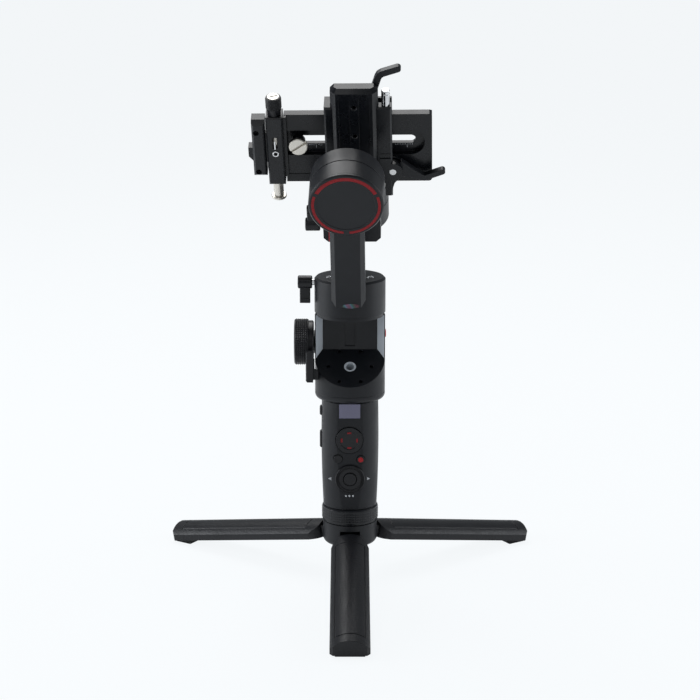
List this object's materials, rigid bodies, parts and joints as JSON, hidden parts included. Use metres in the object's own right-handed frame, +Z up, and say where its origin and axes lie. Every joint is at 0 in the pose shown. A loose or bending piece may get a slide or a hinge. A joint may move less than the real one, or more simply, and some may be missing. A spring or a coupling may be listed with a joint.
{
  "type": "handheld camera gimbal",
  "caption": "Handheld motorised camera stabiliser with inclined arms, sliding balance bars, a quick-release camera plate, a control grip and a folding mini tripod.",
  "frame": {"origin": "on the ground under the handle's axis, between the tripod's feet", "axes": "+Z up along the handle and the pan axis, -Y towards the person who holds it, +X to their right"},
  "size_m": [0.2944, 0.2706, 0.4093],
  "materials": {
    "leg_nylon": "fine grain, matte",
    "rubber": "matte",
    "dark_alloy": "black anodised, satin",
    "shell_black": "soft matte",
    "control_black": "satin",
    "record_button": "satin with a red mark",
    "window_lilac": "smoked, glossy",
    "board_green": "circuit board",
    "cell_sleeve": "shrink sleeve",
    "bright_steel": "polished",
    "steel": "ground",
    "winding_copper": "varnished windings",
    "accent_red": "dark red, semi-gloss",
    "slider_red": "red, satin"
  },
  "bodies": {
    "handle": {"tripod_hub": "dark_alloy", "leg_pins": "steel", "handle_base": "dark_alloy", "handle_shell_front": "shell_black", "handle_shell_rear": "shell_black", "display_window": "window_lilac", "control_board": "board_green", "battery_cells": "cell_sleeve", "handle_collar": "dark_alloy", "body_housing": "dark_alloy", "mount_insert": "bright_steel", "pan_stator": "winding_copper", "pan_bearings": "steel"},
    "front_leg": {"leg_front": "leg_nylon", "pad_front": "rubber"},
    "right_leg": {"leg_right": "leg_nylon", "pad_right": "rubber"},
    "left_leg": {"leg_left": "leg_nylon", "pad_left": "rubber"},
    "lock_ring": {"tripod_lock_ring": "dark_alloy"},
    "pad_cross_body": {"pad_cross": "control_black"},
    "four_way_pad": {"direction_pad": "control_black"},
    "left_key": {"left_button": "control_black"},
    "record_key": {"record_button": "record_button"},
    "dial": {"control_dial": "control_black"},
    "dial_key": {"dial_button": "control_black"},
    "upper_side_key": {"side_key_upper": "control_black"},
    "lower_side_key": {"side_key_lower": "control_black"},
    "focus": {"focus_wheel": "control_black"},
    "zoom": {"zoom_rocker": "control_black"},
    "slider": {"lock_slider": "slider_red"},
    "pan_head": {"pan_rotor_housing": "dark_alloy", "pan_rotor_screws": "bright_steel"},
    "pan_lever": {"pan_clamp_lever": "control_black"},
    "pan_carriage": {"pan_arm": "dark_alloy", "roll_stator": "winding_copper", "roll_motor_cover": "dark_alloy", "roll_accent_ring": "accent_red", "roll_bearings": "steel"},
    "roll_head": {"roll_rotor_housing": "dark_alloy", "roll_clamp_block": "dark_alloy"},
    "roll_lever": {"roll_clamp_lever": "control_black"},
    "roll_carriage": {"roll_arm": "dark_alloy", "tilt_stator": "winding_copper", "tilt_motor_cover": "dark_alloy", "tilt_bearings": "steel"},
    "tilt_head": {"tilt_rotor_housing": "dark_alloy"},
    "tilt_knob": {"tilt_clamp_knob": "control_black"},
    "tilt_carriage": {"tilt_arm": "dark_alloy"},
    "clamp": {"clamp_body": "dark_alloy", "lever_pins": "bright_steel"},
    "upper_lever": {"top_lever": "dark_alloy"},
    "lower_lever": {"side_lever": "dark_alloy"},
    "pull_pin": {"safety_pin": "bright_steel"},
    "plate": {"camera_plate": "dark_alloy"},
    "screw_slide": {"screw_collar": "dark_alloy"},
    "screw": {"camera_screw": "bright_steel"},
    "lens_slide": {"lens_clamp": "dark_alloy"},
    "lens_screw": {"lens_clamp_screw": "dark_alloy"},
    "lens_block": {"lens_support_block": "dark_alloy"}
  },
  "joints": [
    {"name": "front_leg_fold", "type": "hinge", "parent": "handle", "child": "front_leg", "pos_m": [0, -0.0155, 0.0365], "axis": [1, 0, 0], "range_deg": [0, 77.64]},
    {"name": "right_leg_fold", "type": "hinge", "parent": "handle", "child": "right_leg", "pos_m": [0.013, 0.00844, 0.0365], "axis": [-0.5446, 0.8387, 0], "range_deg": [0, 77.64]},
    {"name": "left_leg_fold", "type": "hinge", "parent": "handle", "child": "left_leg", "pos_m": [-0.013, 0.00844, 0.0365], "axis": [-0.5446, -0.8387, 0], "range_deg": [0, 77.64]},
    {"name": "lock_ring_turn", "type": "hinge", "parent": "handle", "child": "lock_ring", "pos_m": [0, 0, 0.0545], "axis": [0, 0, 1], "continuous": true},
    {"name": "pad_rock_up_down", "type": "hinge", "parent": "handle", "child": "pad_cross_body", "pos_m": [-0.0005, -0.0142, 0.1174], "axis": [1, 0, 0], "range_deg": [-3, 3], "stiffness_Nm_per_rad": 0.08},
    {"name": "pad_rock_left_right", "type": "hinge", "parent": "pad_cross_body", "child": "four_way_pad", "pos_m": [-0.0005, -0.0142, 0.1174], "axis": [0, 0, 1], "range_deg": [-3, 3], "stiffness_Nm_per_rad": 0.08},
    {"name": "left_button_press", "type": "slide", "parent": "handle", "child": "left_key", "axis": [0, 1, 0], "range_m": [0, 0.0008], "stiffness_N_per_m": 600, "springref_m": -0.0008},
    {"name": "record_button_press", "type": "slide", "parent": "handle", "child": "record_key", "axis": [0, 1, 0], "range_m": [0, 0.0008], "stiffness_N_per_m": 600, "springref_m": -0.0008},
    {"name": "dial_turn", "type": "hinge", "parent": "handle", "child": "dial", "pos_m": [0, -0.0195, 0.0864], "axis": [0, 1, 0], "continuous": true},
    {"name": "dial_button_press", "type": "slide", "parent": "handle", "child": "dial_key", "axis": [0, 1, 0], "range_m": [0, 0.0008], "stiffness_N_per_m": 600, "springref_m": -0.0008},
    {"name": "upper_key_press", "type": "slide", "parent": "handle", "child": "upper_side_key", "axis": [1, 0, 0], "range_m": [0, 0.0008], "stiffness_N_per_m": 600, "springref_m": -0.0008},
    {"name": "lower_key_press", "type": "slide", "parent": "handle", "child": "lower_side_key", "axis": [1, 0, 0], "range_m": [0, 0.0008], "stiffness_N_per_m": 600, "springref_m": -0.0008},
    {"name": "focus_wheel_turn", "type": "hinge", "parent": "handle", "child": "focus", "pos_m": [-0.035, 0.0095, 0.1887], "axis": [1, 0, 0], "continuous": true},
    {"name": "zoom_rocker_tilt", "type": "hinge", "parent": "handle", "child": "zoom", "pos_m": [-0.0309, -0.014, 0.1751], "axis": [0, 1, 0], "range_deg": [-4, 4], "stiffness_Nm_per_rad": 0.2},
    {"name": "lock_slider_slide", "type": "slide", "parent": "handle", "child": "slider", "axis": [0, 0, 1], "range_m": [0, 0.004]},
    {"name": "pan_turn", "type": "hinge", "parent": "handle", "child": "pan_head", "pos_m": [0, 0, 0.228], "axis": [0, 0, 1], "continuous": true},
    {"name": "pan_lever_turn", "type": "hinge", "parent": "pan_head", "child": "pan_lever", "pos_m": [-0.02998, 0.001, 0.2378], "axis": [0.9995, -0.0332, 0], "continuous": true},
    {"name": "pan_arm_slide", "type": "slide", "parent": "pan_head", "child": "pan_carriage", "axis": [-0.0332, -0.9995, 0], "range_m": [0, 0.03]},
    {"name": "roll_turn", "type": "hinge", "parent": "pan_carriage", "child": "roll_head", "pos_m": [-0.00231, -0.06964, 0.3205], "axis": [0.0295, 0.8905, 0.454], "range_deg": [-250, 70]},
    {"name": "roll_lever_turn", "type": "hinge", "parent": "roll_head", "child": "roll_lever", "pos_m": [-0.02525, -0.02607, 0.28784], "axis": [0.9992, -0.0391, 0.0117], "continuous": true},
    {"name": "roll_arm_slide", "type": "slide", "parent": "roll_head", "child": "roll_carriage", "axis": [-0.0281, -0.4533, 0.8909], "range_m": [0, 0.01]},
    {"name": "tilt_turn", "type": "hinge", "parent": "roll_carriage", "child": "tilt_head", "pos_m": [0.0032, 0.06319, 0.29352], "axis": [-0.0281, -0.4533, 0.8909], "range_deg": [-285, 25]},
    {"name": "tilt_knob_turn", "type": "hinge", "parent": "tilt_head", "child": "tilt_knob", "pos_m": [0.00304, 0.06554, 0.31536], "axis": [-0.0281, -0.4533, 0.8909], "continuous": true},
    {"name": "tilt_arm_slide", "type": "slide", "parent": "tilt_head", "child": "tilt_carriage", "axis": [0.0295, 0.8905, 0.454], "range_m": [0, 0.018]},
    {"name": "clamp_height_slide", "type": "slide", "parent": "tilt_carriage", "child": "clamp", "axis": [-0.0281, -0.4533, 0.8909], "range_m": [-0.02, 0.01]},
    {"name": "top_lever_turn", "type": "hinge", "parent": "clamp", "child": "upper_lever", "pos_m": [0.01818, -0.03041, 0.37702], "axis": [0.0295, 0.8905, 0.454], "range_deg": [0, 55]},
    {"name": "side_lever_turn", "type": "hinge", "parent": "clamp", "child": "lower_lever", "pos_m": [0.0321, -0.0116, 0.32821], "axis": [0.0295, 0.8905, 0.454], "range_deg": [0, 50]},
    {"name": "safety_pin_pull", "type": "slide", "parent": "clamp", "child": "pull_pin", "axis": [-0.0281, -0.4533, 0.8909], "range_m": [0, 0.004], "stiffness_N_per_m": 500, "springref_m": -0.001},
    {"name": "plate_slide", "type": "slide", "parent": "clamp", "child": "plate", "axis": [-0.9992, 0.0391, -0.0117], "range_m": [-0.012, 0.02]},
    {"name": "screw_collar_slide", "type": "slide", "parent": "plate", "child": "screw_slide", "axis": [0.9992, -0.0391, 0.0117], "range_m": [0, 0.012]},
    {"name": "camera_screw_turn", "type": "hinge", "parent": "screw_slide", "child": "screw", "pos_m": [-0.03851, -0.01546, 0.34478], "axis": [0.0295, 0.8905, 0.454], "continuous": true},
    {"name": "lens_clamp_slide", "type": "slide", "parent": "plate", "child": "lens_slide", "axis": [-0.9992, 0.0391, -0.0117], "range_m": [0, 0.01]},
    {"name": "lens_screw_turn", "type": "hinge", "parent": "lens_slide", "child": "lens_screw", "pos_m": [-0.05609, -0.02615, 0.3746], "axis": [-0.0281, -0.4533, 0.8909], "continuous": true},
    {"name": "lens_block_slide", "type": "slide", "parent": "lens_slide", "child": "lens_block", "axis": [-0.0281, -0.4533, 0.8909], "range_m": [-0.006, 0.006]}
  ]
}
